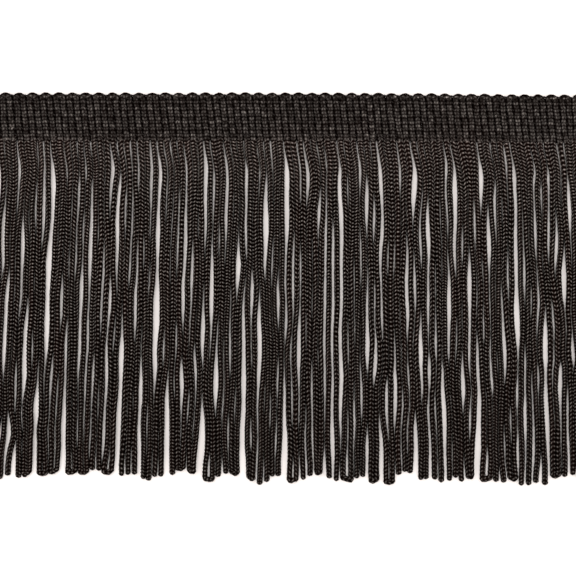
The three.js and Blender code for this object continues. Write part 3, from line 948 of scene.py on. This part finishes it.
pins = [hairpin(k) for k in range(trim["scallops"])]
yarnHeading = chainetteFinish("chainette_yarn_bound", stitchesIn(pins))
headingPiece = cordPiece("heading_columns", pins, yarnHeading, leans=True)
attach(headingPiece, bodyName)
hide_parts("heading")
print(headingPiece.name, "faces:", len(headingPiece.data.polygons))


# threads that bind the columns

bindingThread = {
    "sides": 6,
    "tail": 0.5,           # cut ends past the last column
    "waver": 0.06,         # up and down along the trim
    "waverRate": 0.31,
}
# steps for each column, height over a column and between two, and slant where it crosses
threadSides = {
    "binding_face": {"radius": 0.16, "steps": 8, "over": 1.27, "between": 1.08, "slant": 0.2},
    "binding_back": {"radius": 0.22, "steps": 4, "over": 0.23, "between": 0.50, "slant": -0.2},
}


def threadPath(row, look):
    end = columnX[-1] + trim["pitch"] / 2 + bindingThread["tail"]
    x = np.linspace(-end, end, columns * look["steps"])
    beat = fullTurn * (x - columnX[0]) / trim["pitch"]
    over = 0.5 + 0.5 * np.cos(beat)
    y = threadY[row] + bindingThread["waver"] * np.sin(x * bindingThread["waverRate"] + row)
    if row == binding["rows"] - 1:
        inNotch = 0.5 - 0.5 * np.cos((beat - math.pi) / 2)
        y = y + binding["notchRise"] * inNotch ** 2
    y = y + look["slant"] * np.sin(beat)
    z = look["between"] + (look["over"] - look["between"]) * over
    return np.stack([x, y, z], 1)


def threadPlaces(points, radius):  # rings along one thread
    side, up = crossAxes(np.gradient(points, axis=0))
    angle = fullTurn * np.arange(bindingThread["sides"]) / bindingThread["sides"]
    aside = np.cos(angle)[None, :, None] * side[:, None, :]
    above = np.sin(angle)[None, :, None] * up[:, None, :]
    return (points[:, None, :] + radius * (aside + above)).reshape(-1, 3)


threadMaterial = threadFinish("binding_thread")
for name, look in threadSides.items():
    places, faces = [], []
    for row in range(binding["rows"]):
        points = threadPath(row, look)
        faces += tubeFaces(len(points), bindingThread["sides"], sum(len(p) for p in places))
        places.append(threadPlaces(points, look["radius"]))
    piece = meshPiece(name, np.concatenate(places), faces, threadMaterial, leans=True)
    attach(piece, bodyName)
    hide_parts("heading")
    print(piece.name, "faces:", len(piece.data.polygons))


# floor, light and camera

studio = {
    "floorSize": 6.0,      # metres, as is the lamp's place and size
    "floorColour": (0.957, 0.898, 0.87, 1),
    "floorGrain": {"Scale": 400.0, "Detail": 2.0},
    "floorRoughness": 0.8,
    "floorRoughnessMore": 0.1,
    "floorSpecular": 0.1,
    "lampPlace": (-0.10, 0.16, 0.95),
    "lampSize": 0.7,
    "lampPower": 4.5,
    "skyLevel": 1.08,
    "skyColour": (1.0, 0.98, 0.964, 1),
}
view = {
    "frameWidth": 152.0,   # what the picture takes in, mm
    "middleX": 0.8,
    "middleY": -45.5,
    "lens": 100.0,
    "sensor": 36.0,
    "clipStart": 0.01,     # metres
}
bpy.ops.object.select_all(action="DESELECT")
bpy.ops.mesh.primitive_plane_add(size=studio["floorSize"], location=(0, 0, 0))
floor = bpy.context.object
floor.name = "floor"
floorMaterial, start, shader = newFinish("floor_paper")
place = start.node("ShaderNodeTexCoord", out=objectPlace)
grain = noise(place, studio["floorGrain"])
plug(studio["floorRoughness"] + studio["floorRoughnessMore"] * grain, shader, "Roughness")
shader.inputs["Base Color"].default_value = studio["floorColour"]
shader.inputs["Specular IOR Level"].default_value = studio["floorSpecular"]
floor.data.materials.append(floorMaterial)

bpy.ops.object.light_add(type="AREA", location=studio["lampPlace"])
lamp = bpy.context.object
aim = Vector((view["middleX"] * mm, view["middleY"] * mm, 0)) - Vector(studio["lampPlace"])
lamp.rotation_euler = aim.to_track_quat("-Z", "Y").to_euler()
lamp.name = "overhead_softbox"
lamp.data.shape = "SQUARE"
lamp.data.size = studio["lampSize"]
lamp.data.energy = studio["lampPower"]
world = bpy.data.worlds.new("studio_sky")
world.use_nodes = True
world.node_tree.nodes["Background"].inputs["Color"].default_value = studio["skyColour"]
world.node_tree.nodes["Background"].inputs["Strength"].default_value = studio["skyLevel"]
bpy.context.scene.world = world

distance = view["frameWidth"] * view["lens"] / view["sensor"]
eye = (view["middleX"] * mm, view["middleY"] * mm, (distance + rest["radius"]) * mm)
bpy.ops.object.camera_add(location=eye)
camera = bpy.context.object
camera.rotation_euler = (0, 0, 0)
camera.data.lens = view["lens"]
camera.data.sensor_width = view["sensor"]
camera.data.clip_start = view["clipStart"]
bpy.context.scene.camera = camera
bpy.context.scene.view_settings.view_transform = "Standard"
print("floor, light and camera set")
